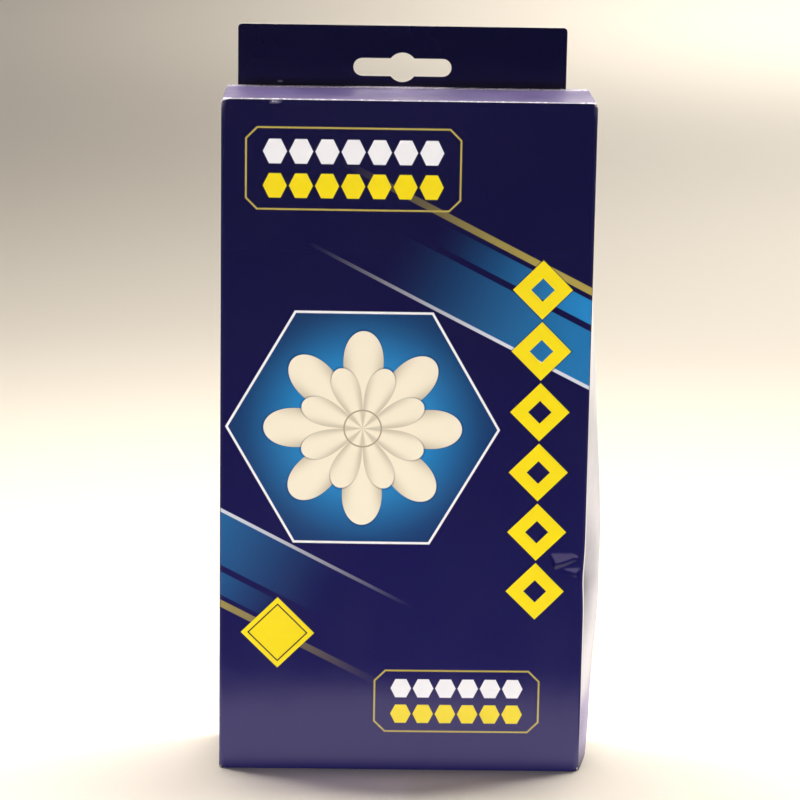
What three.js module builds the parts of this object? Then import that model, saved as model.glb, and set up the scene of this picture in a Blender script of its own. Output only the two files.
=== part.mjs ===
// A tall slim retail carton of folded paperboard, with a tuck lid and a hang panel.
//
// One die-cut blank folds into everything here. The right side, front and left side
// panels wrap round from the back panel, and the fifth panel closes the tube: it is glued
// over the outside of the back panel and rises above the lid as a hang tab with a euro slot.
// The lid folds forward from the back panel over two dust flaps, and its tuck flap slips
// down inside the front panel. The base is glued shut from four flaps.
//
// Millimetres, +Z up. The front panel faces -Y and the carton stands on Z = 0.
import * as THREE from "three";

// The carton's outer size, measured to the fold lines.
const cartonWidth = 119;
const cartonHeight = 222;
const cartonDepth = 35;

// The board, the outer radius of a fold, and the clearance between two layers of board.
const board = 0.5;
const foldRadius = 0.9;
const gap = 0.3;

// How far each wall bows out over the packed contents, at its fullest.
const rightBulge = 6.4;
const leftBow = 0.7;
const frontBow = 1.3;

// The right wall's bulge leans towards the base and still flares a little at the floor.
const bulgeSkew = 0.58;
const bulgeSharpness = 2.4;
const baseFlareShare = 0.35;
const baseFlareReach = 0.1;

// A knock has pinched the fold between the front and the right side.
const pinchDepth = 0.8;
const pinchHeight = 66;
const pinchReach = 7;

// The front panel's cut top edge stands this far below the top of the lid.
const frontTopDrop = 0.2;

// The lid stops this far short of each side, and its tuck flap a little further.
const lidSideInset = 0.7;
const tuckSideInset = 2.2;
const tuckLength = 15;
const tuckCornerCut = 8;

// The dust flaps under the lid: their reach, their tapers and the room for the tuck flap.
const dustReach = 29;
const dustFrontRoom = 3.6;
const dustBackRoom = 1;
const dustTaper = 4;
const dustCornerCut = 6;

// The base flaps that lie hidden under and over one another.
const baseInnerWidth = 27;
const baseInnerSideInset = 2;
const baseDustReach = 30;
const baseDustTaper = 3;
const baseCornerCut = 2;

// The hang panel: the tab above the lid and how far its two edges stand in from the sides.
const tabRise = 20;
const tabLeftInset = 4;
const tabRightInset = 8;
const tabShoulderDrop = 2;
const tabCornerCut = 1.5;

// The euro slot: a bar with round ends and a round middle, set above the top of the lid.
const slotLength = 32;
const slotBarHeight = 5.8;
const slotEyeDiameter = 9.6;
const slotAboveLid = 6.5;

// How finely the bowed walls and the folds are cut into flat faces.
const heightSteps = 28;
const wallSteps = 8;
const foldSteps = 3;
const curveSteps = 6;

const halfWidth = cartonWidth / 2;
const wallInset = board + gap;
const wallTop = cartonHeight - board - gap;
const hangY = cartonDepth + gap;
const hangOuterY = hangY + board;
const tabTop = cartonHeight + tabRise;
const tabLeft = -halfWidth + tabLeftInset;
const tabRight = halfWidth - tabRightInset;

const colours = {
  printedNavy: 0x1a1a40,
  lidNavy: 0x20204c,
  greyBoard: 0xb9b5ab,
};

const printedBoard = () =>
  new THREE.MeshStandardMaterial({ color: colours.printedNavy, roughness: 0.25, metalness: 0 });
const lidBoard = () =>
  new THREE.MeshStandardMaterial({ color: colours.lidNavy, roughness: 0.22, metalness: 0 });
const innerBoard = () =>
  new THREE.MeshStandardMaterial({ color: colours.greyBoard, roughness: 0.85, metalness: 0 });

// A bowed wall swells as a half sine between its two ends.
const halfSine = (share) => Math.sin(Math.PI * share);

// The right wall's bulge at a height, as a share of its fullest.
function bulgeShareAt(heightShare) {
  const swell = Math.pow(Math.max(halfSine(Math.pow(heightShare, bulgeSkew)), 0), bulgeSharpness);
  const flare = baseFlareShare * Math.exp(-Math.pow(heightShare / baseFlareReach, 2));
  return swell + flare;
}

// How far the knock pushes the front right fold towards the middle, at a height.
function pinchAt(height) {
  return pinchDepth * Math.exp(-Math.pow((height - pinchHeight) / pinchReach, 2));
}

// One point of a wall's outer face, with the direction that faces out of the carton.
const sectionPoint = (x, y, outX, outY) => ({
  at: new THREE.Vector2(x, y),
  out: new THREE.Vector2(outX, outY),
});

// A straight run of wall between two points, bowed outwards in its middle.
function wallRun(from, to, out, bow) {
  const points = [];
  for (let step = 0; step <= wallSteps; step += 1) {
    const share = step / wallSteps;
    const at = new THREE.Vector2().lerpVectors(from, to, share);
    at.addScaledVector(out, bow * halfSine(share));
    points.push(sectionPoint(at.x, at.y, out.x, out.y));
  }
  return points;
}

// A quarter-round fold about a centre, swept from one angle to another.
function foldRun(centreX, centreY, fromAngle) {
  const points = [];
  for (let step = 0; step <= foldSteps; step += 1) {
    const angle = fromAngle + (step / foldSteps) * (Math.PI / 2);
    const out = new THREE.Vector2(Math.cos(angle), Math.sin(angle));
    const x = centreX + foldRadius * out.x;
    const y = centreY + foldRadius * out.y;
    points.push(sectionPoint(x, y, out.x, out.y));
  }
  return points;
}

// Closes a sheet of board round its two faces. Each row is one level, from the bottom up,
// and its points run from left to right as seen from outside.
function boardSheet(rows) {
  const columns = rows[0].points.length;
  const positions = [];
  for (const depth of [0, board]) {
    for (const row of rows) {
      for (const point of row.points) {
        const x = point.at.x - depth * point.out.x;
        const y = point.at.y - depth * point.out.y;
        positions.push(x, y, row.height);
      }
    }
  }
  const outer = (row, column) => row * columns + column;
  const inner = (row, column) => outer(row, column) + rows.length * columns;
  const faces = [];
  const quad = (a, b, c, d) => faces.push(a, b, c, a, c, d);
  const lastRow = rows.length - 1;
  const lastColumn = columns - 1;
  for (let row = 0; row < lastRow; row += 1) {
    for (let column = 0; column < lastColumn; column += 1) {
      const right = column + 1;
      const up = row + 1;
      quad(outer(row, column), outer(row, right), outer(up, right), outer(up, column));
      quad(inner(row, column), inner(up, column), inner(up, right), inner(row, right));
    }
    quad(outer(row, 0), outer(row + 1, 0), inner(row + 1, 0), inner(row, 0));
    quad(
      outer(row, lastColumn), inner(row, lastColumn),
      inner(row + 1, lastColumn), outer(row + 1, lastColumn),
    );
  }
  for (let column = 0; column < lastColumn; column += 1) {
    const right = column + 1;
    quad(outer(0, column), inner(0, column), inner(0, right), outer(0, right));
    quad(
      outer(lastRow, column), outer(lastRow, right),
      inner(lastRow, right), inner(lastRow, column),
    );
  }
  const geometry = new THREE.BufferGeometry();
  geometry.setAttribute("position", new THREE.Float32BufferAttribute(positions, 3));
  geometry.setIndex(faces);
  geometry.computeVertexNormals();
  return geometry;
}

// Stacks a wall's section up to its top edge.
function lofted(sectionAt, topHeight) {
  const rows = [];
  for (let step = 0; step <= heightSteps; step += 1) {
    const height = (step / heightSteps) * topHeight;
    rows.push({ height, points: sectionAt(height) });
  }
  return boardSheet(rows);
}

// A closed outline whose corners are cut and rounded. Each corner gives its own cut.
function roundedOutline(corners) {
  const shape = new THREE.Shape();
  corners.forEach((corner, index) => {
    const before = corners[(index + corners.length - 1) % corners.length];
    const after = corners[(index + 1) % corners.length];
    const at = new THREE.Vector2(corner.x, corner.y);
    const cutTowards = (other) => {
      const away = new THREE.Vector2(other.x, other.y).sub(at).normalize();
      return at.clone().addScaledVector(away, corner.cut ?? 0);
    };
    const entry = cutTowards(before);
    const exit = cutTowards(after);
    if (index === 0) shape.moveTo(entry.x, entry.y);
    else shape.lineTo(entry.x, entry.y);
    if (corner.cut) shape.quadraticCurveTo(at.x, at.y, exit.x, exit.y);
  });
  shape.closePath();
  return shape;
}

// Board cut to an outline and lying flat, with its underside at a height.
function flatBoard(shape, underside) {
  const options = { depth: board, bevelEnabled: false, curveSegments: curveSteps };
  const geometry = new THREE.ExtrudeGeometry(shape, options);
  geometry.translate(0, 0, underside);
  return geometry;
}

// Board cut to an outline and standing up, with its front face at a depth.
function standingBoard(shape, frontFace) {
  const geometry = flatBoard(shape, 0);
  geometry.rotateX(Math.PI / 2);
  geometry.translate(0, frontFace + board, 0);
  return geometry;
}

function namedMesh(name, geometry, material) {
  const mesh = new THREE.Mesh(geometry, material);
  mesh.name = name;
  return mesh;
}

// The front panel runs between the two front folds and ends at the top in a cut edge.
function frontPanel() {
  const out = new THREE.Vector2(0, -1);
  const end = halfWidth - foldRadius - gap;
  const topEdge = cartonHeight - frontTopDrop;
  const sectionAt = (height) => {
    const bow = frontBow * halfSine(height / topEdge);
    const left = new THREE.Vector2(-end, 0);
    const right = new THREE.Vector2(end - pinchAt(height), 0);
    return wallRun(left, right, out, bow);
  };
  return namedMesh("front_panel", lofted(sectionAt, topEdge), printedBoard());
}

// The right side panel carries its two folds, and the back one turns on to the back panel.
function rightSidePanel() {
  const out = new THREE.Vector2(1, 0);
  const centreX = halfWidth - foldRadius;
  const backCentreY = cartonDepth - foldRadius;
  const sectionAt = (height) => {
    const pinch = pinchAt(height);
    const from = new THREE.Vector2(halfWidth - pinch, foldRadius);
    const to = new THREE.Vector2(halfWidth, backCentreY);
    const bow = rightBulge * bulgeShareAt(height / cartonHeight);
    return [
      ...foldRun(centreX - pinch, foldRadius, -Math.PI / 2).slice(0, -1),
      ...wallRun(from, to, out, bow),
      ...foldRun(centreX, backCentreY, 0).slice(1),
    ];
  };
  return namedMesh("right_side_panel", lofted(sectionAt, wallTop), printedBoard());
}

// The left side panel's back fold stands further out, because it turns on to the hang panel.
function leftSidePanel() {
  const out = new THREE.Vector2(-1, 0);
  const centreX = -halfWidth + foldRadius;
  const backCentreY = hangOuterY - foldRadius;
  const sectionAt = (height) => {
    const from = new THREE.Vector2(-halfWidth, backCentreY);
    const to = new THREE.Vector2(-halfWidth, foldRadius);
    const bow = leftBow * halfSine(height / cartonHeight);
    return [
      ...foldRun(centreX, backCentreY, Math.PI / 2).slice(0, -1),
      ...wallRun(from, to, out, bow),
      ...foldRun(centreX, foldRadius, Math.PI).slice(1),
    ];
  };
  return namedMesh("left_side_panel", lofted(sectionAt, wallTop), printedBoard());
}

// The back panel is flat, and its free left edge lies inside the left side panel.
function backPanel() {
  const left = -halfWidth + wallInset;
  const right = halfWidth - foldRadius - gap;
  const shape = roundedOutline([
    { x: left, y: 0 },
    { x: right, y: 0 },
    { x: right, y: wallTop },
    { x: left, y: wallTop },
  ]);
  return namedMesh("back_panel", standingBoard(shape, cartonDepth - board), printedBoard());
}

// The euro slot, drawn as one outline: the bar's round ends and the eye in the middle.
function euroSlot(centreX, centreZ) {
  const barRadius = slotBarHeight / 2;
  const eyeRadius = slotEyeDiameter / 2;
  const barEnd = slotLength / 2 - barRadius;
  const meet = Math.asin(barRadius / eyeRadius);
  const slot = new THREE.Path();
  slot.absarc(centreX - barEnd, centreZ, barRadius, Math.PI / 2, (3 * Math.PI) / 2, false);
  slot.absarc(centreX, centreZ, eyeRadius, Math.PI + meet, 2 * Math.PI - meet, false);
  slot.absarc(centreX + barEnd, centreZ, barRadius, -Math.PI / 2, Math.PI / 2, false);
  slot.absarc(centreX, centreZ, eyeRadius, meet, Math.PI - meet, false);
  slot.closePath();
  return slot;
}

// The hang panel covers the back and steps in at the left shoulder to become the tab.
function hangPanel() {
  const foldEnd = -halfWidth + foldRadius + gap;
  const shoulder = cartonHeight - tabShoulderDrop;
  const shape = roundedOutline([
    { x: foldEnd, y: 0 },
    { x: tabRight, y: 0, cut: tabCornerCut },
    { x: tabRight, y: tabTop, cut: tabCornerCut },
    { x: tabLeft, y: tabTop, cut: tabCornerCut },
    { x: tabLeft, y: shoulder },
    { x: foldEnd, y: shoulder },
  ]);
  shape.holes.push(euroSlot((tabLeft + tabRight) / 2, cartonHeight + slotAboveLid));
  return namedMesh("hang_panel", standingBoard(shape, hangY), printedBoard());
}

// The lid turns on the back panel's top fold, and the tuck flap on the lid's front fold.
const lidHinge = new THREE.Vector3(0, cartonDepth - board, cartonHeight - board);
const lidFront = board + gap;
const tuckFold = new THREE.Vector3(0, lidFront + board, cartonHeight - foldRadius);

// The lid panel ends at the front in a quarter-round fold, which its section draws.
function lidPanel() {
  const frontY = lidFront - lidHinge.y;
  const foldY = frontY + foldRadius;
  const foldZ = board - foldRadius;
  const section = new THREE.Shape();
  section.moveTo(0, 0);
  section.lineTo(0, board);
  section.lineTo(foldY, board);
  section.absarc(foldY, foldZ, foldRadius, Math.PI / 2, Math.PI, false);
  section.lineTo(frontY + board, foldZ);
  section.absarc(foldY, foldZ, foldRadius - board, Math.PI, Math.PI / 2, true);
  section.closePath();
  const length = cartonWidth - 2 * lidSideInset;
  const options = { depth: length, bevelEnabled: false, curveSegments: curveSteps };
  const geometry = new THREE.ExtrudeGeometry(section, options);
  const alongX = new THREE.Matrix4().makeBasis(
    new THREE.Vector3(0, 1, 0),
    new THREE.Vector3(0, 0, 1),
    new THREE.Vector3(1, 0, 0),
  );
  geometry.applyMatrix4(alongX);
  geometry.translate(-length / 2, 0, 0);
  return namedMesh("lid_panel", geometry, lidBoard());
}

// The tuck flap hangs from the lid's front fold, with its two lower corners rounded off.
function tuckFlap() {
  const end = halfWidth - board - tuckSideInset;
  const shape = roundedOutline([
    { x: -end, y: -gap },
    { x: -end, y: -gap - tuckLength, cut: tuckCornerCut },
    { x: end, y: -gap - tuckLength, cut: tuckCornerCut },
    { x: end, y: -gap },
  ]);
  return namedMesh("tuck_flap", standingBoard(shape, -board), lidBoard());
}

// A flap that folds in from a side panel: side is -1 on the left and +1 on the right.
// Its fold edge lies on the group's Y axis, and it reaches towards the carton's middle.
function sideFlap(name, side, size, material) {
  const shape = roundedOutline([
    { x: 0, y: size.frontY },
    { x: -side * size.reach, y: size.frontY + size.taper, cut: size.cornerCut },
    { x: -side * size.reach, y: size.backY - size.taper, cut: size.cornerCut },
    { x: 0, y: size.backY },
  ]);
  return namedMesh(name, flatBoard(shape, 0), material);
}

// The two dust flaps lie just under the lid, clear of the tuck flap's way out.
function dustFlap(name, side) {
  const size = {
    reach: dustReach,
    taper: dustTaper,
    cornerCut: dustCornerCut,
    frontY: tuckFold.y + dustFrontRoom,
    backY: cartonDepth - board - dustBackRoom,
  };
  const turning = new THREE.Group();
  turning.position.set(side * (halfWidth - wallInset), 0, wallTop - board);
  turning.add(sideFlap(name, side, size, lidBoard()));
  return turning;
}

// The base's own pair of side flaps lies on top of the other two.
function baseDustFlap(name, side) {
  const size = {
    reach: baseDustReach,
    taper: baseDustTaper,
    cornerCut: baseCornerCut,
    frontY: wallInset,
    backY: cartonDepth - wallInset,
  };
  const flap = sideFlap(name, side, size, innerBoard());
  flap.position.set(side * (halfWidth - wallInset), 0, 2 * (board + gap));
  return flap;
}

// The outer base flap fills the floor of the tube and follows the right wall's flare.
function baseOuterFlap() {
  const left = -halfWidth + wallInset;
  const right = halfWidth - wallInset;
  const front = wallInset;
  const back = cartonDepth - wallInset;
  const flare = wallRun(
    new THREE.Vector2(right, front), new THREE.Vector2(right, back),
    new THREE.Vector2(1, 0), rightBulge * bulgeShareAt(board / cartonHeight),
  );
  const shape = new THREE.Shape([
    new THREE.Vector2(left, front),
    ...flare.map((point) => point.at),
    new THREE.Vector2(left, back),
  ]);
  return namedMesh("base_outer_flap", flatBoard(shape, 0), printedBoard());
}

// The inner base flap reaches forward from the back panel, glued to the outer one.
function baseInnerFlap() {
  const end = halfWidth - board - baseInnerSideInset;
  const back = cartonDepth - wallInset;
  const front = back - baseInnerWidth;
  const shape = roundedOutline([
    { x: -end, y: front, cut: baseCornerCut },
    { x: end, y: front, cut: baseCornerCut },
    { x: end, y: back },
    { x: -end, y: back },
  ]);
  return namedMesh("base_inner_flap", flatBoard(shape, board + gap), innerBoard());
}

const tuck = new THREE.Group();
tuck.position.copy(tuckFold).sub(lidHinge);
tuck.add(tuckFlap());

const lid = new THREE.Group();
lid.position.copy(lidHinge);
lid.add(lidPanel(), tuck);

const folded = new THREE.Group();
folded.add(
  frontPanel(),
  rightSidePanel(),
  leftSidePanel(),
  backPanel(),
  hangPanel(),
  lid,
  dustFlap("dust_flap_left", -1),
  dustFlap("dust_flap_right", 1),
  baseOuterFlap(),
  baseInnerFlap(),
  baseDustFlap("base_dust_flap_left", -1),
  baseDustFlap("base_dust_flap_right", 1),
);

// The origin is the middle of the carton's footprint, on the surface it stands on.
const extent = new THREE.Box3().setFromObject(folded);
const middle = extent.getCenter(new THREE.Vector3());
folded.position.set(-middle.x, -middle.y, -extent.min.z);

const carton = new THREE.Group();
carton.add(folded);

export default carton;
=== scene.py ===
"""A retail carton with a tuck lid and a hang tab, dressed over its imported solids.

Metres, +Z up. The front panel faces -Y and the carton stands on Z = 0.
"""
import math

import bpy
import numpy as np
from mathutils import Matrix, Vector


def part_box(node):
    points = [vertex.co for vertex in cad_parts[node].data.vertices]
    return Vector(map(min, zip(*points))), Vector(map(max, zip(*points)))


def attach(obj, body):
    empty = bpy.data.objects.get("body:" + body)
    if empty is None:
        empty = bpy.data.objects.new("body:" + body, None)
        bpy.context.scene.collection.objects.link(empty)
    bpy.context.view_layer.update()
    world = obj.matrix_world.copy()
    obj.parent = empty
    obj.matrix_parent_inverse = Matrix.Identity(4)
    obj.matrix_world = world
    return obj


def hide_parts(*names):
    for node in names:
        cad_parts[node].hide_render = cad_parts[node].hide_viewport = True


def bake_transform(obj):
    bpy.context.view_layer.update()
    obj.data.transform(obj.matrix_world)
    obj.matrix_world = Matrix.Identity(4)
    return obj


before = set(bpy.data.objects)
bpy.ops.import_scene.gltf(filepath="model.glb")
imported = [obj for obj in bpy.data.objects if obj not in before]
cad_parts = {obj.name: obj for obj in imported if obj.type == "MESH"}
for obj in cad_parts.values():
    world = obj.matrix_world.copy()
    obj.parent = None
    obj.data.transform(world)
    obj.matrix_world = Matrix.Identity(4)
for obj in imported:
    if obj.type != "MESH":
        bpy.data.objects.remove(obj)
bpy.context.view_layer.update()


# The wrap: one die-cut sheet of folding boxboard half a millimetre thick, creased and folded
# round into the left side, the front, the right side and the back. It is offset printed and
# gloss laminated outside and bare grey inside. Its contents have pushed the right side out.
mm = 0.001
board = 0.5 * mm
clearance = 0.3 * mm
fold_radius = 0.9 * mm
shoulder_drop = 2 * mm
seam_gap = 0.4 * mm
smooth_limit = math.radians(50)

left_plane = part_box("hang_panel")[0].x - fold_radius - clearance
right_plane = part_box("back_panel")[1].x + fold_radius + clearance
front_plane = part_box("right_side_panel")[0].y
back_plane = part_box("back_panel")[1].y
hang_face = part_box("hang_panel")[1].y
carton_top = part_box("lid_panel")[1].z
front_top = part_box("front_panel")[1].z
back_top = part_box("back_panel")[1].z
shoulder = carton_top - shoulder_drop
dust_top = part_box("dust_flap_left")[1].z
dust_bend = board + clearance
side_top = dust_top - dust_bend

right_bulge = 6.3 * mm
left_bow = 0.7 * mm
front_bow = 1.25 * mm
pinch_depth = 0.45 * mm
pinch_height = 66 * mm
pinch_reach = 7 * mm
pinch_fade = 6
ripple = 0.05 * mm
ripple_margin = 8
base_round = 0.3 * mm
left_corner_lift = 1.3 * mm
right_corner_lift = 2.0 * mm
corner_reach = 1.7 * mm
top_round = 1.1 * mm
top_round_reach = 1.6 * mm
dent_span = 14 * mm
ridge = 1.15


def wall(start, stop, out, steps, panel, pinch=(0.0, 0.0)):
    """A straight run of wall, from one fold or edge to the next."""
    return [{"at": np.add(start, np.subtract(stop, start) * share), "out": out, "panel": panel,
             "share": share, "pinch": pinch[0] + (pinch[1] - pinch[0]) * share}
            for share in np.linspace(0, 1, steps + 1)]


def fold(centre, from_angle, panel, pinch=0.0, steps=6):
    """A quarter-round fold, swept on to the next wall."""
    turns = from_angle + np.linspace(0, math.pi / 2, steps + 1)[1:-1]
    return [{"at": np.add(centre, (fold_radius * math.cos(a), fold_radius * math.sin(a))),
             "out": (math.cos(a), math.sin(a)), "panel": panel, "share": 0.0, "pinch": pinch}
            for a in turns]


left_in, right_in = left_plane + fold_radius, right_plane - fold_radius
front_in, back_in = front_plane + fold_radius, back_plane - fold_radius
hang_in = hang_face - fold_radius
hang_seam = left_in + seam_gap
dent_start = right_in - dent_span
free_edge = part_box("back_panel")[0].x
left_steps, front_steps, dent_steps, right_steps, back_steps = 16, 60, 46, 32, 40

path = [
    *wall((hang_seam, hang_face), (left_in, hang_face), (0, 1), 1, "hang"),
    *fold((left_in, hang_in), math.pi / 2, "left"),
    *wall((left_plane, hang_in), (left_plane, front_in), (-1, 0), left_steps, "left"),
    *fold((left_in, front_in), math.pi, "front"),
    *wall((left_in, front_plane), (dent_start, front_plane), (0, -1), front_steps, "front"),
    *wall((dent_start, front_plane), (right_in, front_plane), (0, -1), dent_steps, "front")[1:],
    *fold((right_in, front_in), -math.pi / 2, "front", pinch=1.0),
    *wall((right_plane, front_in), (right_plane, back_in), (1, 0), right_steps, "right", pinch=(1, 0)),
    *fold((right_in, back_in), 0, "right"),
    *wall((right_in, back_plane), (free_edge, back_plane), (0, 1), back_steps, "back"),
]
columns_at = np.array([column["at"] for column in path])
columns_out = np.array([column["out"] for column in path], float)
panels = np.array([column["panel"] for column in path])
shares = np.array([column["share"] for column in path])
right_swell = np.where(panels == "right", 1 - np.abs(2 * shares - 1) ** ridge, 0.0)
left_swell = np.where(panels == "left", np.sin(math.pi * shares), 0.0)
front_share = np.clip((columns_at[:, 0] - left_in) / (right_in - left_in), 0, 1)
on_front = (panels == "front") & (columns_at[:, 1] < front_plane + fold_radius / 2)
front_swell = np.where(on_front, np.sin(math.pi * front_share), 0.0)
pinch_share = np.array([column["pinch"] for column in path])
pinch_share = np.where(on_front & (pinch_share == 0), front_share ** pinch_fade, pinch_share)
lengths = np.concatenate([[0], np.cumsum(np.linalg.norm(np.diff(columns_at, axis=0), axis=1))])
front_left = int(np.argmax(on_front))
print_across = lengths - lengths[front_left]
print_across = np.where(on_front, columns_at[:, 0] - left_plane, print_across)


def near_corner(corner_x, corner_y, reach):
    """How close each column is to one upright fold, from 0 out of reach to 1 at it."""
    away = np.hypot(columns_at[:, 0] - corner_x, columns_at[:, 1] - corner_y)
    return np.clip(1 - away / reach, 0, 1)


bottoms = (left_corner_lift * near_corner(left_plane, front_plane, corner_reach)
           + right_corner_lift * near_corner(right_plane, front_plane, corner_reach))
panel_tops = {"hang": shoulder, "left": side_top, "front": front_top, "right": side_top,
              "back": back_top}
tops = np.array([panel_tops[panel] for panel in panels])
tops = np.where(on_front, front_top, tops)
tops = np.where((panels == "front") & ~on_front, (front_top + side_top) / 2, tops)
rounded_off = (near_corner(left_plane, front_plane, top_round_reach)
               + near_corner(right_plane, front_plane, top_round_reach))
tops = tops - top_round * rounded_off * (panels == "front")

edge_rows = np.array([0, 0.06, 0.14, 0.25, 0.45, 0.9, 1.6]) * mm
top_rows = np.array([0, 0.45, 0.9, 1.6]) * mm
coarse_row, fine_row = 2.2 * mm, 0.35 * mm
dent_low, dent_high = 62 * mm, 77 * mm
heights = np.unique(np.concatenate([
    edge_rows,
    np.arange(edge_rows[-1] + fine_row, dent_low, coarse_row),
    np.arange(dent_low, dent_high, fine_row),
    np.arange(dent_high, carton_top - coarse_row, coarse_row),
    carton_top - top_rows,
]))
level = heights / carton_top


bulge_skew, bulge_sharpness = 0.58, 2.4
base_flare_share, base_flare_reach = 0.52, 0.1


def swollen(up_share):
    """The right wall's bulge up the carton, as a share of its fullest."""
    skewed = np.maximum(np.sin(np.pi * up_share ** bulge_skew), 0) ** bulge_sharpness
    return skewed + base_flare_share * np.exp(-(up_share / base_flare_reach) ** 2)


def dented(across, up, corners):
    """How deep a dent is, each of its flat facets sloping in from one edge of its outline."""
    depth = np.full(across.shape, np.inf)
    for corner, following in zip(corners, corners[1:] + corners[:1]):
        run, rise = following["x"] - corner["x"], following["z"] - corner["z"]
        inward = ((across - corner["x"]) * rise - (up - corner["z"]) * run) / math.hypot(run, rise)
        depth = np.minimum(depth, inward * corner["slope"])
    return np.maximum(depth, 0)


def eased(depth, passes=2):
    """Rounds a dent's creases, as bent board rounds them."""
    for _ in range(passes):
        depth[1:-1] = (depth[:-2] + 2 * depth[1:-1] + depth[2:]) / 4
        depth[:, 1:-1] = (depth[:, :-2] + 2 * depth[:, 1:-1] + depth[:, 2:]) / 4
    return depth


gentle, steep = 0.28, 3.2
knocks = (
    [{"x": 107.0, "z": 75.2, "slope": gentle}, {"x": 114.9, "z": 75.3, "slope": steep},
     {"x": 117.2, "z": 73.0, "slope": steep}, {"x": 112.6, "z": 70.6, "slope": steep},
     {"x": 109.3, "z": 69.6, "slope": steep}],
    [{"x": 109.6, "z": 70.1, "slope": gentle}, {"x": 118.2, "z": 70.4, "slope": steep},
     {"x": 118.4, "z": 69.6, "slope": steep}, {"x": 116.9, "z": 66.7, "slope": steep},
     {"x": 111.2, "z": 69.0, "slope": steep}],
)

rise = bottoms + np.outer(level, np.ones(len(path))) * (tops - bottoms)
sway = np.outer(swollen(level), right_swell) * right_bulge
sway += np.outer(np.sin(np.pi * level), left_swell) * left_bow
sway += np.outer(np.sin(np.pi * level), front_swell) * front_bow
pinch = pinch_depth * np.exp(-((rise - pinch_height) / pinch_reach) ** 2) * pinch_share
across_mm = np.tile(print_across / mm, (len(heights), 1))
up_mm = rise / mm
ripples = (
    {"across": 13, "up": 31, "shift": 0},
    {"across": 29, "up": -17, "shift": 1.3},
    {"across": 47, "up": 9.5, "shift": 0.6},
)
waves = sum(np.sin(across_mm / each["across"] + up_mm / each["up"] + each["shift"]) for each in ripples)
front_width = (right_plane - left_plane) / mm
free = np.clip(np.minimum(across_mm, front_width - across_mm) / ripple_margin, 0, 1)
sway -= np.where(on_front, ripple * (waves + len(ripples)) / 2 * free, 0)
for knock in knocks:
    sway -= np.where(on_front, eased(dented(across_mm, up_mm, knock)) * mm, 0)
tucked = np.clip(base_round - (rise - bottoms), 0, None)
inset = base_round - np.sqrt(np.maximum(base_round ** 2 - tucked ** 2, 0))
sway -= inset

outer = np.zeros((len(heights), len(path), 3))
outer[..., 0] = columns_at[:, 0] + columns_out[:, 0] * sway - pinch
outer[..., 1] = columns_at[:, 1] + columns_out[:, 1] * sway
outer[..., 2] = rise
inner = outer.copy()
inner[..., :2] -= board * columns_out

# Wear runs from 0 for fresh film to 1 for bare pulp.
fold_reach, end_reach, rub_reach, rub_height = 2.2 * mm, 2.2 * mm, 3.2 * mm, 14 * mm
fold_share, end_share, rub_share, chip_share = 0.3, 0.6, 0.5, 0.74
folds_worn = (near_corner(left_plane, front_plane, fold_reach)
              + near_corner(right_plane, front_plane, fold_reach))
ends = np.exp(-rise / end_reach) + np.exp(-(tops - rise) / end_reach)
rubbed = near_corner(right_plane, front_plane, rub_reach) * np.exp(-(rise / rub_height) ** 2)
wear = np.clip(folds_worn * (fold_share + end_share * ends), 0, 1)
wear = np.maximum(wear, rub_share * rubbed)
chip_middle, chip_reach = 17.6 * mm, 1.5 * mm
chip_top, chip_foot = 0.25 * mm, 0.9 * mm
from_top = tops - rise
chipped = (np.abs(print_across - chip_middle) < chip_reach) & on_front
chipped = chipped & (from_top > chip_top) & (from_top < chip_foot)
wear = np.maximum(wear, np.where(chipped, chip_share, 0))


def board_mesh(name, outer, inner, print_u, print_v, wear, materials, outside=None):
    """Closes a sheet of board round its two faces and gives it its print coordinates.

    The grids run left to right as seen from outside, from the bottom row up. The first
    materials are printed ones, picked face by face, then the inside, then the cut edge.
    """
    rows, columns = outer.shape[:2]
    count = rows * columns
    index = np.arange(count).reshape(rows, columns)
    low_left, low_right = index[:-1, :-1], index[:-1, 1:]
    high_left, high_right = index[1:, :-1], index[1:, 1:]
    face = np.stack([low_left, low_right, high_right, high_left], -1).reshape(-1, 4)
    lining = np.stack([low_left, high_left, high_right, low_right], -1).reshape(-1, 4)
    border = np.concatenate([index[0, :-1], index[:-1, -1], index[-1, :0:-1], index[:0:-1, 0]])
    after = np.roll(border, -1)
    rim = np.stack([after, border, border + count, after + count], -1)
    faces = np.concatenate([face, lining + count, rim])
    corners = np.concatenate([outer.reshape(-1, 3), inner.reshape(-1, 3)])
    mesh = bpy.data.meshes.new(name)
    mesh.from_pydata(corners.tolist(), [], faces.tolist())
    for material in materials:
        mesh.materials.append(material)
    inside = len(materials) - 2
    printed = np.zeros(len(face), int) if outside is None else outside.reshape(-1)
    kinds = np.concatenate([printed, np.full(len(lining), inside), np.full(len(rim), inside + 1)])
    mesh.polygons.foreach_set("material_index", kinds.astype(np.int32))
    mesh.polygons.foreach_set("use_smooth", np.ones(len(faces), bool))
    at_corner = np.zeros(len(mesh.loops), np.int32)
    mesh.loops.foreach_get("vertex_index", at_corner)
    flat = np.stack([np.tile(print_u.reshape(-1), 2), np.tile(print_v.reshape(-1), 2)], -1)
    mesh.uv_layers.new(name="print").data.foreach_set("uv", flat[at_corner].reshape(-1))
    wear_and_highlight = mesh.attributes.new("wear", "FLOAT", "POINT")
    wear_and_highlight.data.foreach_set("value", np.tile(wear.reshape(-1), 2).astype(np.float32))
    mesh.update()
    mesh.set_sharp_from_angle(angle=smooth_limit)
    piece = bpy.data.objects.new(name, mesh)
    bpy.context.scene.collection.objects.link(piece)
    return piece


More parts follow.
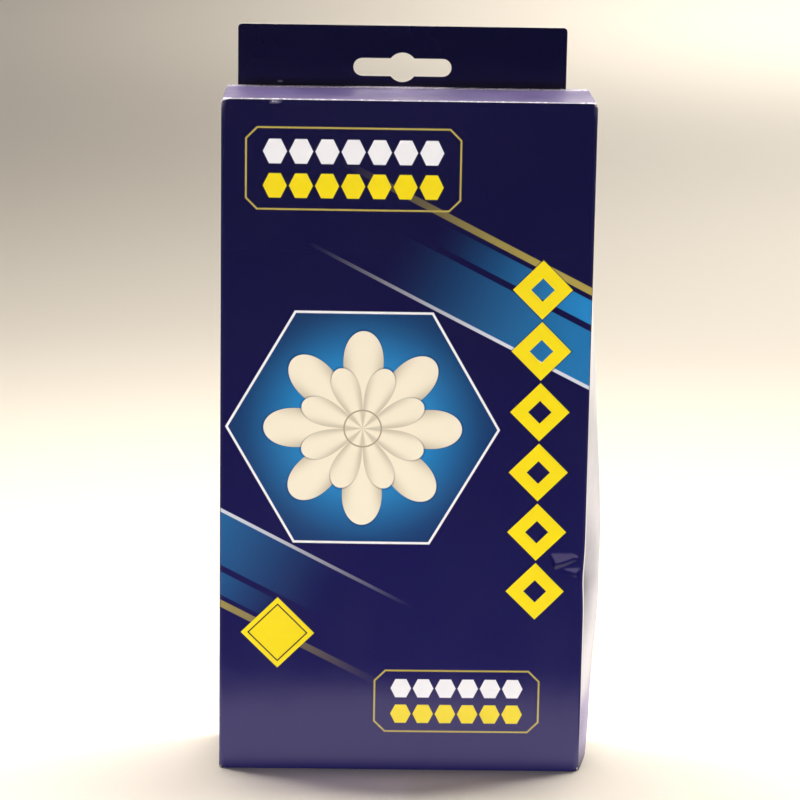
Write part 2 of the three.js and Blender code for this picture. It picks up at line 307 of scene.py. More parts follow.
class Plate:
    """One printing plate: it lays ink over ink, each with a slightly soft edge.

    Its lengths are in millimetres.
    """

    edge = 0.16
    patch_low, patch_high = 0.3, 0.7

    def __init__(self, tree):
        self.tree = tree

    def feed(self, socket, value):
        if isinstance(value, bpy.types.NodeSocket):
            self.tree.links.new(value, socket)
        else:
            socket.default_value = value

    def calc(self, operation, *values):
        node = self.tree.nodes.new("ShaderNodeMath")
        node.operation = operation
        for socket, value in zip(node.inputs, values):
            self.feed(socket, value)
        return node.outputs[0]

    def scaled(self, value, low, high, to_low=0.0, to_high=1.0, soft=True):
        node = self.tree.nodes.new("ShaderNodeMapRange")
        node.interpolation_type = "SMOOTHSTEP" if soft else "LINEAR"
        for name, number in (("From Min", low), ("From Max", high),
                             ("To Min", to_low), ("To Max", to_high)):
            node.inputs[name].default_value = number
        self.feed(node.inputs["Value"], value)
        return node.outputs[0]

    def length(self, across, up):
        return self.calc("SQRT", self.calc("ADD", self.calc("MULTIPLY", across, across),
                                           self.calc("MULTIPLY", up, up)))

    def inside(self, distance):
        """How much of a point the ink covers, from its distance outside the shape."""
        return self.scaled(distance, -self.edge / 2, self.edge / 2, 1.0, 0.0, soft=False)

    def outline(self, distance, width):
        return self.inside(self.calc("SUBTRACT", self.calc("ABSOLUTE", distance), width / 2))

    def both(self, first, second):
        return self.calc("MULTIPLY", first, second)

    def lay(self, under, ink, cover):
        node = self.tree.nodes.new("ShaderNodeMix")
        node.data_type = "RGBA"
        for socket, value in ((node.inputs["Factor"], cover), (node.inputs["A"], under),
                              (node.inputs["B"], ink)):
            self.feed(socket, value)
        return node.outputs["Result"]

    def noise(self, scale, detail):
        node = self.tree.nodes.new("ShaderNodeTexNoise")
        node.inputs["Scale"].default_value = scale
        node.inputs["Detail"].default_value = detail
        where = self.tree.nodes.new("ShaderNodeTexCoord").outputs["Object"]
        self.tree.links.new(where, node.inputs["Vector"])
        return node.outputs["Fac"]

    def mottle(self, scale, detail):
        """Soft patches, each from none of the second tone to all of it."""
        return self.scaled(self.noise(scale, detail), self.patch_low, self.patch_high)


pulp = (0.72, 0.69, 0.66, 1)
# A pale lavender for worn folds, also used for the painted highlights along the lid's folds.
fold_wear_and_highlight = (0.60, 0.56, 0.68, 1)
pulp_roughness, stock_roughness = 0.6, 0.85
touch_gain = 1.5
film_bumps = (
    {"scale": 520, "detail": 1, "height": 1.6e-6},
    {"scale": 55, "detail": 2, "height": 2.4e-5},
)
fibre_height = 1e-5


def laminated(name, artwork, roughness, gloss_index):
    """Printed board under a clear gloss film, with worn folds where the pulp shows and painted fold
    highlights.
    """
    material = bpy.data.materials.new(name)
    material.use_nodes = True
    plate = Plate(material.node_tree)
    shader = material.node_tree.nodes["Principled BSDF"]
    shader.inputs["IOR"].default_value = gloss_index
    wear_and_highlight = material.node_tree.nodes.new("ShaderNodeAttribute")
    wear_and_highlight.attribute_name = "wear"
    grain = plate.noise(scale=900, detail=3)
    # Where the wear attribute runs high the board is painted pale and rough: worn pulp on the walls, and
    # painted highlights along the lid's folds.
    pulp_and_highlight = plate.scaled(plate.calc("ADD", wear_and_highlight.outputs["Fac"], grain), low=1.12, high=1.3)
    rubbed = plate.scaled(wear_and_highlight.outputs["Fac"], low=0.1, high=1.0, to_high=0.25)
    printed = plate.lay(artwork(plate), fold_wear_and_highlight, rubbed)
    plate.feed(shader.inputs["Base Color"], plate.lay(printed, fold_wear_and_highlight, pulp_and_highlight))
    handled = plate.scaled(plate.noise(scale=38, detail=4), low=0.35, high=0.75,
                           to_low=roughness, to_high=roughness * touch_gain)
    rough = plate.calc("MAXIMUM", handled, plate.calc("MULTIPLY", pulp_and_highlight, pulp_roughness))
    plate.feed(shader.inputs["Roughness"], rough)
    normal = None
    for wave in film_bumps:
        bump = material.node_tree.nodes.new("ShaderNodeBump")
        bump.inputs["Distance"].default_value = wave["height"]
        plate.feed(bump.inputs["Height"], plate.noise(wave["scale"], wave["detail"]))
        if normal:
            plate.feed(bump.inputs["Normal"], normal)
        normal = bump.outputs["Normal"]
    plate.feed(shader.inputs["Normal"], normal)
    return material


def bare_board(name, light, dark):
    """Unprinted stock: matt, with a faint mottle of fibres."""
    material = bpy.data.materials.new(name)
    material.use_nodes = True
    plate = Plate(material.node_tree)
    shader = material.node_tree.nodes["Principled BSDF"]
    shader.inputs["Roughness"].default_value = stock_roughness
    fibres = plate.mottle(scale=700, detail=5)
    plate.feed(shader.inputs["Base Color"], plate.lay(light, dark, fibres))
    bump = material.node_tree.nodes.new("ShaderNodeBump")
    bump.inputs["Distance"].default_value = fibre_height
    plate.feed(bump.inputs["Height"], plate.noise(scale=1400, detail=4))
    plate.feed(shader.inputs["Normal"], bump.outputs["Normal"])
    return material


lining_board = bare_board("lining_board", light=(0.56, 0.54, 0.49, 1), dark=(0.42, 0.40, 0.36, 1))
cut_edge = bare_board("cut_edge", light=pulp, dark=(0.55, 0.54, 0.53, 1))


# The print is a plain geometric design on navy. The navy's colour is lighter towards the carton's foot.
navy = (0.0058, 0.0050, 0.042, 1)
bright_navy = (0.0088, 0.0076, 0.082, 1)
sky = (0.018, 0.27, 0.66, 1)
gold = (0.46, 0.37, 0.075, 1)
yellow = (0.82, 0.66, 0.006, 1)
white = (0.80, 0.80, 0.84, 1)
cream = (0.80, 0.74, 0.60, 1)
shaded_cream = (0.36, 0.31, 0.22, 1)
bright_below = 20
band_angle = math.radians(-27)


def print_place(plate):
    """Across and up the print, in millimetres from the front panel's lower left corner."""
    where = plate.tree.nodes.new("ShaderNodeUVMap")
    where.uv_map = "print"
    apart = plate.tree.nodes.new("ShaderNodeSeparateXYZ")
    plate.feed(apart.inputs[0], where.outputs[0])
    return [plate.calc("DIVIDE", apart.outputs[axis], mm) for axis in (0, 1)]


def graded(plate, up, dark):
    """Navy that is brightest at the carton's foot."""
    return plate.lay(bright_navy, dark, plate.scaled(up, bright_below, carton_top / mm))


def turned(plate, across, up, angle):
    """The same point along and across a line at an angle to the level."""
    cos, sin = math.cos(angle), math.sin(angle)
    along = plate.calc("ADD", plate.calc("MULTIPLY", across, cos), plate.calc("MULTIPLY", up, sin))
    aside = plate.calc("SUBTRACT", plate.calc("MULTIPLY", up, cos), plate.calc("MULTIPLY", across, sin))
    return along, aside


def sky_bands(plate, art, across, up):
    """Straight blue bands slant down past the badge, one set above and one below it."""
    along, aside = turned(plate, across, up, band_angle)
    side = plate.calc("SIGN", aside)
    level = plate.calc("ABSOLUTE", aside)
    reach = plate.calc("MULTIPLY", along, side)
    bands = (
        {"from": 45, "width": 17, "ink": sky, "lit": (-20, 62), "cover": 0.62},
        {"from": 45, "width": 1.1, "ink": white, "lit": (-45, 35), "cover": 0.75},
        {"from": 64, "width": 7, "ink": sky, "lit": (-10, 66), "cover": 0.95},
        {"from": 72.5, "width": 2.2, "ink": gold, "lit": (-50, 40), "cover": 0.8},
    )
    for band in bands:
        middle = band["from"] + band["width"] / 2
        off = plate.calc("ABSOLUTE", plate.calc("SUBTRACT", level, middle))
        cover = plate.inside(plate.calc("SUBTRACT", off, band["width"] / 2))
        lit = plate.scaled(reach, *band["lit"], 0.0, band["cover"])
        art = plate.lay(art, band["ink"], plate.both(cover, lit))
    return art


def badge(plate, art, across, up):
    """A white hexagon round a blue glow, with a cream rosette of folded petals in it."""
    radius, ring, heart, heart_line = 38, 0.75, 6, 0.5
    petals, petal_line, line_cover, roundness = 8, 1.3, 0.35, 0.38
    outer_reach, inner_share = 32, 0.66
    rosettes = (
        {"turn": 0.0, "reach": outer_reach, "dark": 0.75},
        {"turn": math.pi / petals, "reach": outer_reach * inner_share, "dark": 0.55},
    )
    wide = plate.calc("ABSOLUTE", across)
    tall = plate.calc("ABSOLUTE", up)
    slant = plate.calc("ADD", plate.calc("MULTIPLY", wide, math.sin(math.pi / 3)),
                       plate.calc("MULTIPLY", tall, math.cos(math.pi / 3)))
    edge = plate.calc("SUBTRACT", plate.calc("MAXIMUM", tall, slant), radius)
    out = plate.length(across, up)
    glow = plate.scaled(out, low=12, high=43, to_low=0.9, to_high=0.12)
    art = plate.lay(art, sky, plate.both(plate.inside(edge), glow))
    art = plate.lay(art, white, plate.outline(edge, ring))
    angle = plate.calc("ARCTAN2", up, across)
    for rosette in rosettes:
        turned_angle = plate.calc("MULTIPLY", plate.calc("ADD", angle, rosette["turn"]), petals / 2)
        wave = plate.calc("ABSOLUTE", plate.calc("COSINE", turned_angle))
        tip = plate.calc("MULTIPLY", plate.calc("POWER", wave, roundness), rosette["reach"])
        petal = plate.calc("SUBTRACT", out, tip)
        crease = plate.scaled(wave, low=0.2, high=0.995, to_low=rosette["dark"], to_high=0.0)
        ink = plate.lay(cream, shaded_cream, crease)
        art = plate.lay(art, navy, plate.both(plate.outline(petal, petal_line), line_cover))
        art = plate.lay(art, ink, plate.inside(petal))
    from_heart = plate.calc("SUBTRACT", out, heart)
    return plate.lay(art, shaded_cream, plate.outline(from_heart, heart_line))


def marked_frame(plate, art, across, up, half_width, half_height, marks):
    """A fine gold frame with cut corners round two rows of small marks."""
    corner_cut, line, margin = 3.5, 0.55, 5
    row_level, mark_height, mark_slope, mark_width = 0.42, 0.3, 0.5, 0.46
    wide = plate.calc("SUBTRACT", plate.calc("ABSOLUTE", across), half_width)
    tall = plate.calc("SUBTRACT", plate.calc("ABSOLUTE", up), half_height)
    past_cut = plate.calc("ADD", plate.calc("ADD", wide, tall), corner_cut)
    corner = plate.calc("MULTIPLY", past_cut, math.sqrt(0.5))
    frame_line = plate.calc("MAXIMUM", plate.calc("MAXIMUM", wide, tall), corner)
    art = plate.lay(art, gold, plate.outline(frame_line, line))
    cell = 2 * (half_width - margin) / marks
    cells_in = plate.calc("DIVIDE", plate.calc("ADD", across, half_width - margin), cell)
    step = plate.calc("SUBTRACT", plate.calc("FRACT", cells_in), 0.5)
    aside = plate.calc("ABSOLUTE", plate.calc("MULTIPLY", step, cell))
    room = plate.inside(plate.calc("ADD", wide, margin))
    for level, ink in ((row_level, white), (-row_level, yellow)):
        rise = plate.calc("ABSOLUTE", plate.calc("SUBTRACT", up, level * half_height))
        flat_end = plate.calc("SUBTRACT", rise, half_height * mark_height)
        slope = plate.calc("ADD", aside, plate.calc("MULTIPLY", rise, mark_slope))
        chevron = plate.calc("SUBTRACT", slope, cell * mark_width)
        mark = plate.calc("MAXIMUM", flat_end, chevron)
        art = plate.lay(art, ink, plate.both(plate.inside(mark), room))
    return art


def yellow_column(plate, art, across, up):
    """Large yellow diamonds stand one on the other, each open at its heart."""
    pitch, half, stroke, count = 20, 9.6, 2.9, 6
    shadow_line, shadow_cover = 1.0, 0.6
    tall = plate.calc("SUBTRACT", plate.calc("FRACT", plate.calc("DIVIDE", up, pitch)), 0.5)
    rise = plate.calc("ABSOLUTE", plate.calc("MULTIPLY", tall, pitch))
    reach = plate.calc("SUBTRACT", plate.calc("ADD", plate.calc("ABSOLUTE", across), rise), half)
    ring = plate.calc("SUBTRACT", plate.calc("ABSOLUTE", plate.calc("ADD", reach, stroke)), stroke)
    off_middle = plate.calc("ABSOLUTE", plate.calc("SUBTRACT", up, pitch * count / 2))
    within = plate.calc("SUBTRACT", off_middle, pitch * count / 2)
    cover = plate.both(plate.inside(ring), plate.inside(within))
    shadow = plate.both(plate.outline(reach, shadow_line), plate.inside(within))
    art = plate.lay(art, navy, plate.both(shadow, shadow_cover))
    return plate.lay(art, yellow, cover)


def yellow_diamond(plate, art, across, up):
    """One solid diamond with a fine navy line inside its edge."""
    half, inset, line = 12, 2.4, 0.6
    reach = plate.calc("ADD", plate.calc("ABSOLUTE", across), plate.calc("ABSOLUTE", up))
    edge = plate.calc("SUBTRACT", reach, half)
    art = plate.lay(art, yellow, plate.inside(edge))
    return plate.lay(art, navy, plate.outline(plate.calc("ADD", edge, inset), line))


badge_middle, column_foot, diamond_middle = (46, 116), (103, 52), (19, 47)
gold_frames = (
    {"middle": (42, 200), "half": (34, 13), "marks": 7},
    {"middle": (78, 24), "half": (27, 10.5), "marks": 6},
)


def front_artwork(plate):
    across, up = print_place(plate)

    def centred(middle):
        return plate.calc("SUBTRACT", across, middle[0]), plate.calc("SUBTRACT", up, middle[1])

    art = graded(plate, up, navy)
    badge_place = centred(badge_middle)
    art = sky_bands(plate, art, *badge_place)
    art = badge(plate, art, *badge_place)
    art = yellow_column(plate, art, *centred(column_foot))
    for each in gold_frames:
        art = marked_frame(plate, art, *centred(each["middle"]), *each["half"], each["marks"])
    return yellow_diamond(plate, art, *centred(diamond_middle))


def side_artwork(plate):
    _, up = print_place(plate)
    return graded(plate, up, navy)


front_print = laminated("front_print", front_artwork, roughness=0.17, gloss_index=1.62)
side_print = laminated("side_print", side_artwork, roughness=0.17, gloss_index=1.62)

kinds = np.where(on_front[:-1] & on_front[1:], 0, 1)
wrap = board_mesh("wrap", outer, inner, np.tile(print_across, (len(heights), 1)), rise, wear,
                  [front_print, side_print, lining_board, cut_edge],
                  np.tile(kinds, (len(heights) - 1, 1)))
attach(wrap, "carton")
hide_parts("front_panel", "right_side_panel", "left_side_panel", "back_panel")


# The hang panel: the blank's fifth panel, glued over the outside of the back and rising
# above the lid as a tab. Its euro slot is punched right through, and it is printed on
# both faces because both show.
hang_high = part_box("hang_panel")[1]
tab_inset = 4 * mm
tab_left = left_plane + tab_inset
tab_top = hang_high.z
tab_corner = 1.5 * mm
slot_rise = 6.5 * mm
slot_centre = ((tab_left + hang_high.x) / 2, carton_top + slot_rise)
slot_length = 32 * mm
slot_bar = 5.8 * mm
slot_eye = 9.6 * mm
arc_steps = 10
face_limit = 0.9


def rounded(corners):
    """The outline through these corners, each rounded by its own cut."""
    points = []
    for index, (x, z, cut) in enumerate(corners):
        if not cut:
            points.append((x, z))
            continue
        here = Vector((x, z))
        before = Vector(corners[index - 1][:2])
        after = Vector(corners[(index + 1) % len(corners)][:2])
        entry = here + (before - here).normalized() * cut
        leave = here + (after - here).normalized() * cut
        for step in range(arc_steps + 1):
            t = step / arc_steps
            points.append(tuple(entry * (1 - t) ** 2 + here * 2 * t * (1 - t) + leave * t ** 2))
    return points


def arc(centre_x, centre_z, radius, start, stop):
    turns = np.linspace(start, stop, arc_steps + 1)
    return [(centre_x + radius * math.cos(a), centre_z + radius * math.sin(a)) for a in turns]


def euro_slot(centre_x, centre_z):
    bar_radius, eye_radius = slot_bar / 2, slot_eye / 2
    bar_end = slot_length / 2 - bar_radius
    meet = math.asin(bar_radius / eye_radius)
    half = math.pi / 2
    return [
        *arc(centre_x - bar_end, centre_z, bar_radius, half, 3 * half),
        *arc(centre_x, centre_z, eye_radius, math.pi + meet, 2 * math.pi - meet),
        *arc(centre_x + bar_end, centre_z, bar_radius, -half, half),
        *arc(centre_x, centre_z, eye_radius, meet, math.pi - meet),
    ]


def punched_board(name, outlines, back_face, materials):
    """Board punched to these outlines and stood up, with its back face at a depth."""
    curve = bpy.data.curves.new(name, "CURVE")
    curve.dimensions = "2D"
    curve.fill_mode = "BOTH"
    curve.extrude = board / 2
    for outline in outlines:
        spline = curve.splines.new("POLY")
        spline.points.add(len(outline) - 1)
        for point, (x, z) in zip(spline.points, outline):
            point.co = (x, z, 0, 1)
        spline.use_cyclic_u = True
    flat = bpy.data.objects.new(name + "_flat", curve)
    bpy.context.scene.collection.objects.link(flat)
    bpy.context.view_layer.update()
    mesh = bpy.data.meshes.new_from_object(flat.evaluated_get(bpy.context.evaluated_depsgraph_get()))
    bpy.data.objects.remove(flat)
    mesh.name = name
    stand = Matrix.Translation((0, back_face - board / 2, 0)) @ Matrix.Rotation(math.pi / 2, 4, "X")
    mesh.transform(stand)
    mesh.materials.clear()
    for material in materials:
        mesh.materials.append(material)
    for polygon in mesh.polygons:
        polygon.material_index = 0 if abs(polygon.normal.y) > face_limit else 1
        polygon.use_smooth = False
    piece = bpy.data.objects.new(name, mesh)
    bpy.context.scene.collection.objects.link(piece)
    return piece


tab_navy = (0.0040, 0.0036, 0.026, 1)
scuff = {"x": -44.5, "z": 223.4, "half_width": 1.3, "half_height": 0.5, "cover": 0.3, "solid": 0.3}


def tab_artwork(plate):
    where = plate.tree.nodes.new("ShaderNodeTexCoord")
    apart = plate.tree.nodes.new("ShaderNodeSeparateXYZ")
    plate.feed(apart.inputs[0], where.outputs["Object"])
    across = plate.calc("DIVIDE", apart.outputs["X"], mm)
    up = plate.calc("DIVIDE", apart.outputs["Z"], mm)
    art = graded(plate, up, tab_navy)
    aside = plate.calc("DIVIDE", plate.calc("SUBTRACT", across, scuff["x"]), scuff["half_width"])
    away = plate.calc("DIVIDE", plate.calc("SUBTRACT", up, scuff["z"]), scuff["half_height"])
    mark = plate.scaled(plate.length(aside, away), scuff["solid"], 1.0, scuff["cover"], 0.0)
    in_front = plate.calc("LESS_THAN", apart.outputs["Y"], hang_face - board / 2)
    return plate.lay(art, fold_wear_and_highlight, plate.both(mark, in_front))


tab_print = laminated("tab_print", tab_artwork, roughness=0.2, gloss_index=1.5)
hang_outline = rounded([
    (hang_seam, 0, 0), (hang_high.x, 0, tab_corner), (hang_high.x, tab_top, tab_corner),
    (tab_left, tab_top, tab_corner), (tab_left, shoulder, 0), (hang_seam, shoulder, 0),
])
hang = punched_board("hang_panel_board", [hang_outline, euro_slot(*slot_centre)], hang_face,
                     [tab_print, cut_edge])
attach(hang, "carton")
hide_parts("hang_panel")


# The lid: the same board, folded forward from the back. Its front fold turns down into
# the tuck flap, which slips inside the front panel.
lid_low, lid_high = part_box("lid_panel")
tuck_low, tuck_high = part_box("tuck_flap")
hinge_gap = 0.6 * mm
lid_back = lid_high.y - hinge_gap
lid_centre = (lid_low.x + lid_high.x) / 2
lid_half = (lid_high.x - lid_low.x) / 2
tuck_half = (tuck_high.x - tuck_low.x) / 2
tuck_corner = 8 * mm
lid_fold = (lid_low.y + fold_radius, lid_high.z - fold_radius)
below_fold, behind_fold = 0.5 * mm, 1.2 * mm
across_steps, tuck_steps, lid_steps = 80, 16, 20
# Pale lines on the lid: the front fold's is partly wear and partly painted highlight, and the band at
# the back is painted highlight.
fold_line_width, back_highlight_width = 1.1 * mm, 3.5 * mm
front_wear_and_highlight, ends_worn, back_highlight, hinge_highlight_share = 0.66, 0.5, 0.85, 0.8


def swept_board(name, rows, materials, wear_and_highlight_at=None, along="x", flip=False):
    """A flap of board. Each row gives its place, its outward side, and its two ends."""
    share = np.linspace(0, 1, across_steps + 1)
    places = np.array([row["at"] for row in rows])
    outs = np.array([row["out"] for row in rows], float)
    ends = np.array([row["ends"] for row in rows])
    if flip:
        ends = ends[:, ::-1]
    spans = ends[:, :1] + (ends[:, 1:] - ends[:, :1]) * share
    outside = np.zeros((len(rows), len(share), 3))
    axis, other = (0, 1) if along == "x" else (1, 0)
    outside[..., axis] = spans
    outside[..., other] = places[:, :1]
    outside[..., 2] = places[:, 1:]
    within = outside.copy()
    within[..., other] -= board * outs[:, :1]
    within[..., 2] -= board * outs[:, 1:]
    walked = np.concatenate([[0], np.cumsum(np.linalg.norm(np.diff(places, axis=0), axis=1))])
    wear_and_highlight = np.zeros(spans.shape) if wear_and_highlight_at is None else wear_and_highlight_at(spans, places)
    return board_mesh(name, outside, within, spans, np.tile(walked[:, None], (1, len(share))),
                      wear_and_highlight, materials)


def quarter(centre, start, stop, radius, steps=8):
    turns = np.linspace(start, stop, steps + 1)
    return [((centre[0] + radius * math.cos(a), centre[1] + radius * math.sin(a)),
             (math.cos(a), math.sin(a))) for a in turns]


# Both lid tones are painted lighter and more violet than the walls' navy: a painted sheen for the
# overhead light's broad gloss at grazing. The mottle mixes them in random patches.
lid_sheen_navy = (0.042, 0.027, 0.110, 1)
lighter_sheen_navy = (0.062, 0.042, 0.145, 1)


def lid_artwork(plate):
    return plate.lay(lid_sheen_navy, lighter_sheen_navy, plate.mottle(scale=30, detail=2))


def lid_ends(half):
    return lid_centre - half, lid_centre + half


lid_rows = []
for height in np.linspace(tuck_low.z, lid_fold[1] - below_fold, tuck_steps):
    rise_above = height - tuck_low.z
    cut = max(tuck_corner - rise_above, 0)
    round_off = tuck_corner - math.sqrt(max(tuck_corner ** 2 - cut ** 2, 0))
    lid_rows.append({"at": (lid_low.y, height), "out": (-1, 0), "ends": lid_ends(tuck_half - round_off)})
for place, out in quarter(lid_fold, math.pi, math.pi / 2, fold_radius):
    lid_rows.append({"at": place, "out": out, "ends": lid_ends(lid_half)})
for depth in np.linspace(lid_fold[0] + behind_fold, lid_back, lid_steps):
    lid_rows.append({"at": (depth, lid_high.z), "out": (0, 1), "ends": lid_ends(lid_half)})


def lid_wear_and_highlight(spans, places):
    """The lid's front fold is rubbed, most of all at the ends, and painted pale there as a highlight
    too. A band at its back is a painted highlight.
    """
    from_fold = np.hypot(places[:, 0] - lid_low.y, places[:, 1] - lid_high.z)
    near_fold = np.exp(-(from_fold / fold_line_width) ** 4)
    from_end = np.minimum(spans - lid_low.x, lid_high.x - spans)
    ends = ends_worn * np.exp(-np.maximum(from_end, 0) / end_reach)
    near_back_highlight = back_highlight * np.exp(-((lid_back - places[:, 0]) / back_highlight_width) ** 2)
    return np.clip(near_fold[:, None] * (front_wear_and_highlight + ends) + near_back_highlight[:, None], 0, 1)


def hinge_highlight(spans, places):
    """The fold at the lid's back is painted pale along its whole length: a painted highlight, laid
    through the wear attribute.
    """
    return np.full(spans.shape, hinge_highlight_share)


lid_print = laminated("lid_print", lid_artwork, roughness=0.46, gloss_index=1.6)
lid = swept_board("lid", lid_rows, [lid_print, lining_board, cut_edge], lid_wear_and_highlight)
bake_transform(lid)
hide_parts("lid_panel", "tuck_flap")

hinge_radius = 0.7 * mm
crease_rise, crease_slope = 0.28 * mm, 0.08 * mm
crease_out = (-0.7, 0.7)
hinge_centre = (back_plane - hinge_radius, lid_high.z + crease_rise - hinge_radius)
hinge_rows = [{"at": (back_plane, back_top), "out": (1, 0), "ends": lid_ends(lid_half)}]
for place, out in quarter(hinge_centre, 0, math.pi / 2, hinge_radius):
    hinge_rows.append({"at": place, "out": out, "ends": lid_ends(lid_half)})
crease_front = min(hinge_centre[0], lid_back + 2 * crease_slope)
hinge_rows.append({"at": (crease_front - crease_slope, lid_high.z + crease_rise / 2), "out": crease_out,
                   "ends": lid_ends(lid_half)})
hinge_rows.append({"at": (crease_front - 2 * crease_slope, lid_high.z), "out": (0, 1),
                   "ends": lid_ends(lid_half)})
lid_hinge = swept_board("lid_hinge_fold", hinge_rows, [lid_print, lining_board, cut_edge], hinge_highlight,
                        flip=True)
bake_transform(lid_hinge)


# The dust flaps: one folds in from each side under the lid, with a tapered end and cut
# corners, so the contents' dust and light stay out.
dust_taper = 4 * mm
dust_corner = 6 * mm
past_fold = 1 * mm
dust_steps = 18
for side, node, body in ((-1, "dust_flap_left", "left_dust_flap"),
                         (1, "dust_flap_right", "right_dust_flap")):
    low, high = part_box(node)
    fold_x, tip_x = (low.x, high.x) if side < 0 else (high.x, low.x)
    start = math.pi if side < 0 else 0
    centre = (fold_x, side_top)
    rows = []
    for place, out in quarter(centre, start, math.pi / 2, dust_bend):
        rows.append({"at": place, "out": out, "ends": (high.y, low.y)})
    for x in np.linspace(fold_x - side * past_fold, tip_x, dust_steps):
        gone = abs(x - fold_x) / abs(tip_x - fold_x)
        cut = max(dust_corner - abs(tip_x - x), 0)
        round_off = dust_corner - math.sqrt(max(dust_corner ** 2 - cut ** 2, 0))
        aside = dust_taper * gone + round_off
        rows.append({"at": (x, high.z), "out": (0, 1), "ends": (high.y - aside, low.y + aside)})
    flap = swept_board(node + "_board", rows, [lid_print, lining_board, cut_edge], along="y",
                       flip=side > 0)
    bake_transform(flap)
    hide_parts(node)


# The base: four flaps of the same sheet, glued shut. Only the outer one is printed side
# out, and the others show their bare side from inside.
def base_artwork(plate):
    return plate.lay(navy, bright_navy, plate.mottle(scale=45, detail=3))


base_print = laminated("base_print", base_artwork, roughness=0.3, gloss_index=1.5)
for node, finish in (("base_outer_flap", base_print), ("base_inner_flap", lining_board),
                     ("base_dust_flap_left", lining_board), ("base_dust_flap_right", lining_board)):
    flap_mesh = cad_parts[node].data
    flap_mesh.materials.clear()
    flap_mesh.materials.append(finish)


# The floor is a plain pale sheet. A glowing card, which is no lamp, lies on it close round the
# carton and shows only in the carton's gloss: a painted reflection of the lit floor. Its glow is
# painted darker towards the carton, a painted shade like the floor's shade there.
floor_reach = 8
floor_colour = (0.84, 0.78, 0.69, 1)
floor_roughness = 0.7
card_reach = 78 * mm
card_side_reach = 34 * mm
card_height = 0.01 * mm
card_dark, card_full = -2, 15
card_glow = (1.15, 0.95, 1.25, 1)


def staged(name, low, high, height, finish):
    """A flat sheet of the stage, between two corners of its footprint."""
    mesh = bpy.data.meshes.new(name)
    corners = [(low[0], low[1], height), (high[0], low[1], height),
               (high[0], high[1], height), (low[0], high[1], height)]
    mesh.from_pydata(corners, [], [(0, 1, 2, 3)])
    mesh.materials.append(finish)
    sheet = bpy.data.objects.new(name, mesh)
    bpy.context.scene.collection.objects.link(sheet)
    return sheet


floor_finish = bpy.data.materials.new("floor_finish")
floor_finish.use_nodes = True
floor_shader = floor_finish.node_tree.nodes["Principled BSDF"]
floor_shader.inputs["Base Color"].default_value = floor_colour
floor_shader.inputs["Roughness"].default_value = floor_roughness
floor = staged("floor", (-floor_reach, -floor_reach), (floor_reach, floor_reach), 0, floor_finish)
floor.visible_glossy = False

card_finish = bpy.data.materials.new("card_finish")
card_finish.use_nodes = True
card_shader = card_finish.node_tree.nodes["Principled BSDF"]
card_shader.inputs["Base Color"].default_value = (0, 0, 0, 1)
card_shader.inputs["Emission Color"].default_value = card_glow
card_plate = Plate(card_finish.node_tree)
card_place = card_finish.node_tree.nodes.new("ShaderNodeSeparateXYZ")
card_point = card_finish.node_tree.nodes.new("ShaderNodeTexCoord")
card_plate.feed(card_place.inputs[0], card_point.outputs["Object"])
outside_by = []
for axis, low, high in (("X", left_plane, right_plane), ("Y", front_plane, hang_face)):
    off_middle = card_plate.calc("SUBTRACT", card_place.outputs[axis], (low + high) / 2)
    beyond = card_plate.calc("SUBTRACT", card_plate.calc("ABSOLUTE", off_middle), (high - low) / 2)
    outside_by.append(card_plate.calc("DIVIDE", beyond, mm))
from_carton = card_plate.calc("MAXIMUM", *outside_by)
# The card's glow is painted darker towards the carton: painted shade in a painted reflection.
card_plate.feed(card_shader.inputs["Emission Strength"],
                card_plate.scaled(from_carton, card_dark, card_full))
card = staged("sheen_card", (left_plane - card_reach, front_plane - card_reach),
              (right_plane + card_side_reach, hang_face + card_reach), card_height, card_finish)
card.visible_camera = False
card.visible_diffuse = False
card.visible_shadow = False


# The light: one soft box over the carton throws a short shadow forward, two small ones fill
# the floor at its sides, two more light the floor to the right and behind, and one stands far
# back for the front. Gloss rays alone see a bright room behind and overhead: a painted reflection.
warm_white, soft_white = (1.0, 0.96, 0.88), (1.0, 0.98, 0.97)


def soft_box(name, place, aim, size, watts, colour=warm_white, spread=180, in_gloss=True):
    light = bpy.data.lights.new(name, "AREA")
    light.spread = math.radians(spread)
    light.shape = "RECTANGLE"
    light.size, light.size_y = size
    light.energy = watts
    light.color = colour
    lamp = bpy.data.objects.new(name, light)
    lamp.location = place
    lamp.rotation_euler = (Vector(aim) - Vector(place)).to_track_quat("-Z", "Y").to_euler()
    lamp.visible_camera = False
    lamp.visible_glossy = in_gloss
    bpy.context.scene.collection.objects.link(lamp)


soft_box("top_box", (0.02, 0.16, 1.1), aim=(0.02, 0.12, 0), size=(0.6, 0.2), watts=6.6, spread=120)
soft_box("side_box", (0.75, 1.0, 0.55), aim=(0.6, 1.0, 0), size=(0.5, 1.2), watts=4)
soft_box("far_box", (0.6, 2.6, 0.7), aim=(0.6, 2.6, 0), size=(0.8, 1.6), watts=13)
for side in (-1, 1):
    soft_box("flank_box", (0.62 * side, 0.3, 0.8), aim=(0.12 * side, 0, 0), size=(0.2, 0.2),
             watts=0.75, spread=80, in_gloss=False)
soft_box("front_box", (-0.3, -1.8, 0.11), aim=(0, 0, 0.11), size=(0.9, 0.14), watts=26,
         colour=soft_white, in_gloss=False)

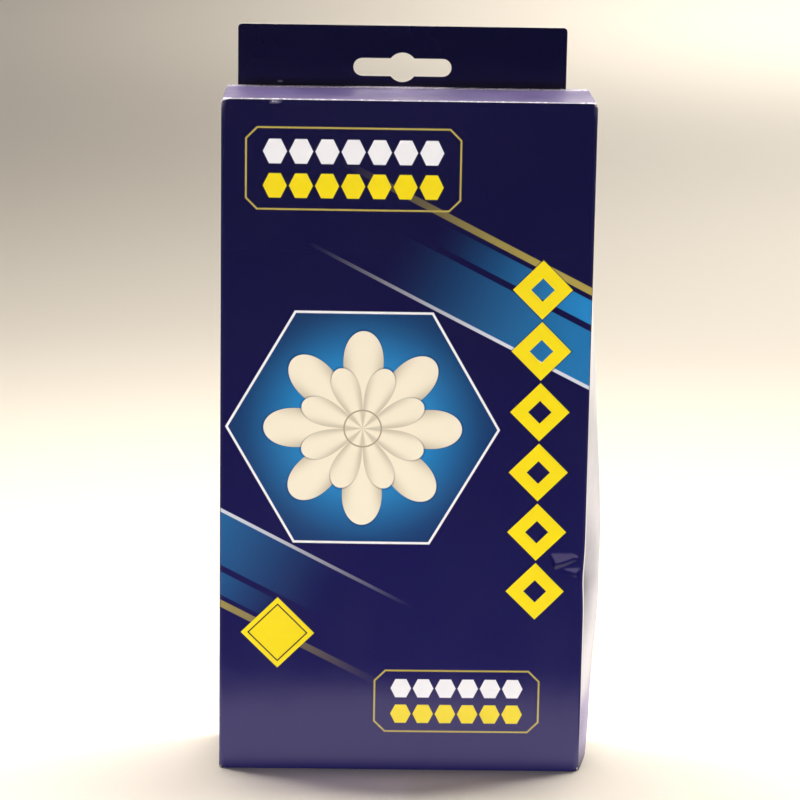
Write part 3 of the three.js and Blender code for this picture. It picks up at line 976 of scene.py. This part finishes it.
world = bpy.data.worlds.new("studio")
bpy.context.scene.world = world
world.use_nodes = True
room = Plate(world.node_tree)
background = world.node_tree.nodes["Background"]
rays = world.node_tree.nodes.new("ShaderNodeLightPath")
toward = world.node_tree.nodes.new("ShaderNodeSeparateXYZ")
room.feed(toward.inputs[0], world.node_tree.nodes.new("ShaderNodeTexCoord").outputs["Generated"])
# Gloss rays alone see this brighter room, a painted reflection; everything else is lit by the dim room
# light.
behind = room.scaled(toward.outputs["Y"], low=0.66, high=0.74)
straight_behind = room.scaled(toward.outputs["Y"], low=0.78, high=0.9)
above = room.scaled(toward.outputs["Z"], low=0.35, high=0.8)
dark_cloth, pale_ceiling = (0.022, 0.020, 0.026, 1), (0.9, 0.84, 0.8, 1)
bright_wall, far_wall = (3.6, 3.3, 3.05, 1), (1.9, 1.75, 1.6, 1)
room_light, backdrop = (0.036, 0.034, 0.038, 1), (0.88, 0.82, 0.70, 1)
seen = room.lay(room.lay(dark_cloth, pale_ceiling, above), bright_wall, behind)
seen = room.lay(seen, far_wall, straight_behind)
lit = room.lay(room_light, seen, rays.outputs["Is Glossy Ray"])
room.feed(background.inputs["Color"], room.lay(lit, backdrop, rays.outputs["Is Camera Ray"]))
bpy.context.scene.view_settings.view_transform = "Standard"


# The camera: a long lens on a 36 mm sensor, about a metre in front of the carton and above
# its lid, tilted down and turned a little to the right.
camera_place = (-19.2 * mm, -972.6 * mm, 340 * mm)
camera_lens, sensor_width = 136.94, 36
near_clip = 10 * mm
pitch, yaw, roll = math.radians(12.66), math.radians(0.89), math.radians(0.92)
forward = Vector((math.sin(yaw) * math.cos(pitch), math.cos(yaw) * math.cos(pitch), -math.sin(pitch)))
level_right = Vector((math.cos(yaw), -math.sin(yaw), 0))
level_up = level_right.cross(forward)
right = math.cos(roll) * level_right + math.sin(roll) * level_up
upward = math.cos(roll) * level_up - math.sin(roll) * level_right
camera_data = bpy.data.cameras.new("camera")
camera_data.lens = camera_lens
camera_data.sensor_width = sensor_width
camera_data.clip_start = near_clip
camera = bpy.data.objects.new("camera", camera_data)
turn = Matrix((right, upward, -forward)).transposed().to_4x4()
camera.matrix_world = Matrix.Translation(camera_place) @ turn
bpy.context.scene.collection.objects.link(camera)
bpy.context.scene.camera = camera
